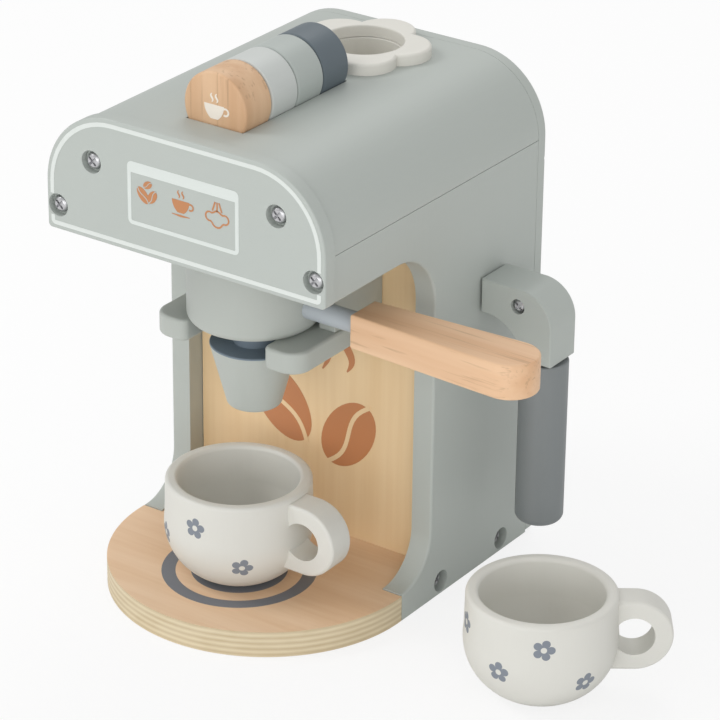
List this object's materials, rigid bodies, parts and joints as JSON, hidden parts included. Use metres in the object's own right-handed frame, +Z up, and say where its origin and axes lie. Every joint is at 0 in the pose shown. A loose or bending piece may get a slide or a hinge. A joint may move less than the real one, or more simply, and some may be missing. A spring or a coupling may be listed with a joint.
{
  "type": "toy coffee maker",
  "caption": "Wooden toy coffee maker with round pods, a turning portafilter, a swinging steam wand, a flower-shaped well and two flowered cups.",
  "frame": {"origin": "on the floor under the middle of the machine's body, between its front and back panels", "axes": "+Z up, +X to the right of a child who faces the machine, -Y towards the child"},
  "size_m": [0.2653, 0.176, 0.2468],
  "materials": {
    "sage_paint": "satin sage green paint on wood",
    "slate_paint": "satin slate blue paint on wood",
    "grey_paint": "satin grey paint on wood",
    "cream_paint": "satin off-white paint on wood",
    "pale_sage_paint": "satin pale sage paint on wood",
    "mist_paint": "satin light blue-grey paint on wood",
    "beech": "oiled beech",
    "plywood": "clear-varnished plywood",
    "screw_steel": "zinc-plated"
  },
  "bodies": {
    "machine": {"base_plate": "plywood", "side_panel_left": "sage_paint", "side_panel_right": "sage_paint", "top_cover": "sage_paint", "front_panel": "sage_paint", "back_panel": "sage_paint", "backboard": "plywood", "group_block": "sage_paint", "portafilter_fork": "sage_paint", "flower_collar": "cream_paint", "hopper_cup": "cream_paint", "wand_washer": "screw_steel", "front_panel_screws": "screw_steel", "back_panel_screws": "screw_steel", "base_screws_left": "screw_steel", "base_screws_right": "screw_steel"},
    "wand": {"wand_pivot": "beech", "wand_bracket": "sage_paint", "wand_screw": "screw_steel", "steam_rod": "grey_paint"},
    "drip_spout": {"portafilter_spout": "sage_paint"},
    "portafilter": {"portafilter_basket": "sage_paint", "portafilter_dowel": "mist_paint", "portafilter_handle": "beech"},
    "beech_pod": {"pod_beech": "beech"},
    "white_pod": {"pod_white": "cream_paint"},
    "sage_pod": {"pod_sage": "pale_sage_paint"},
    "slate_pod": {"pod_slate": "slate_paint"},
    "near_cup": {"near_cup_bowl": "cream_paint", "near_cup_handle": "cream_paint"},
    "floor_cup": {"floor_cup_bowl": "cream_paint", "floor_cup_handle": "cream_paint"}
  },
  "joints": [
    {"name": "wand_swing", "type": "hinge", "parent": "machine", "child": "wand", "pos_m": [0.078, 0.042, 0.1334], "axis": [1, 0, 0], "range_deg": [-60, 60]},
    {"name": "portafilter_pull", "type": "slide", "parent": "machine", "child": "drip_spout", "axis": [0, -1, 0], "range_m": [0, 0.08]},
    {"name": "portafilter_turn", "type": "hinge", "parent": "drip_spout", "child": "portafilter", "pos_m": [0, -0.0335, 0.135], "axis": [0, 0, 1], "range_deg": [-180, 0]},
    {"name": "beech_pod_lift", "type": "slide", "parent": "machine", "child": "beech_pod", "axis": [0, 0, 1], "range_m": [0, 0.04]},
    {"name": "white_pod_lift", "type": "slide", "parent": "machine", "child": "white_pod", "axis": [0, 0, 1], "range_m": [0, 0.04]},
    {"name": "sage_pod_lift", "type": "slide", "parent": "machine", "child": "sage_pod", "axis": [0, 0, 1], "range_m": [0, 0.04]},
    {"name": "slate_pod_lift", "type": "slide", "parent": "machine", "child": "slate_pod", "axis": [0, 0, 1], "range_m": [0, 0.04]},
    {"name": "near_cup_pull", "type": "slide", "parent": "machine", "child": "near_cup", "axis": [0, -1, 0], "range_m": [0, 0.04]},
    {"name": "floor_cup_lift", "type": "slide", "parent": "machine", "child": "floor_cup", "axis": [0, 0, 1], "range_m": [0, 0.06]}
  ]
}
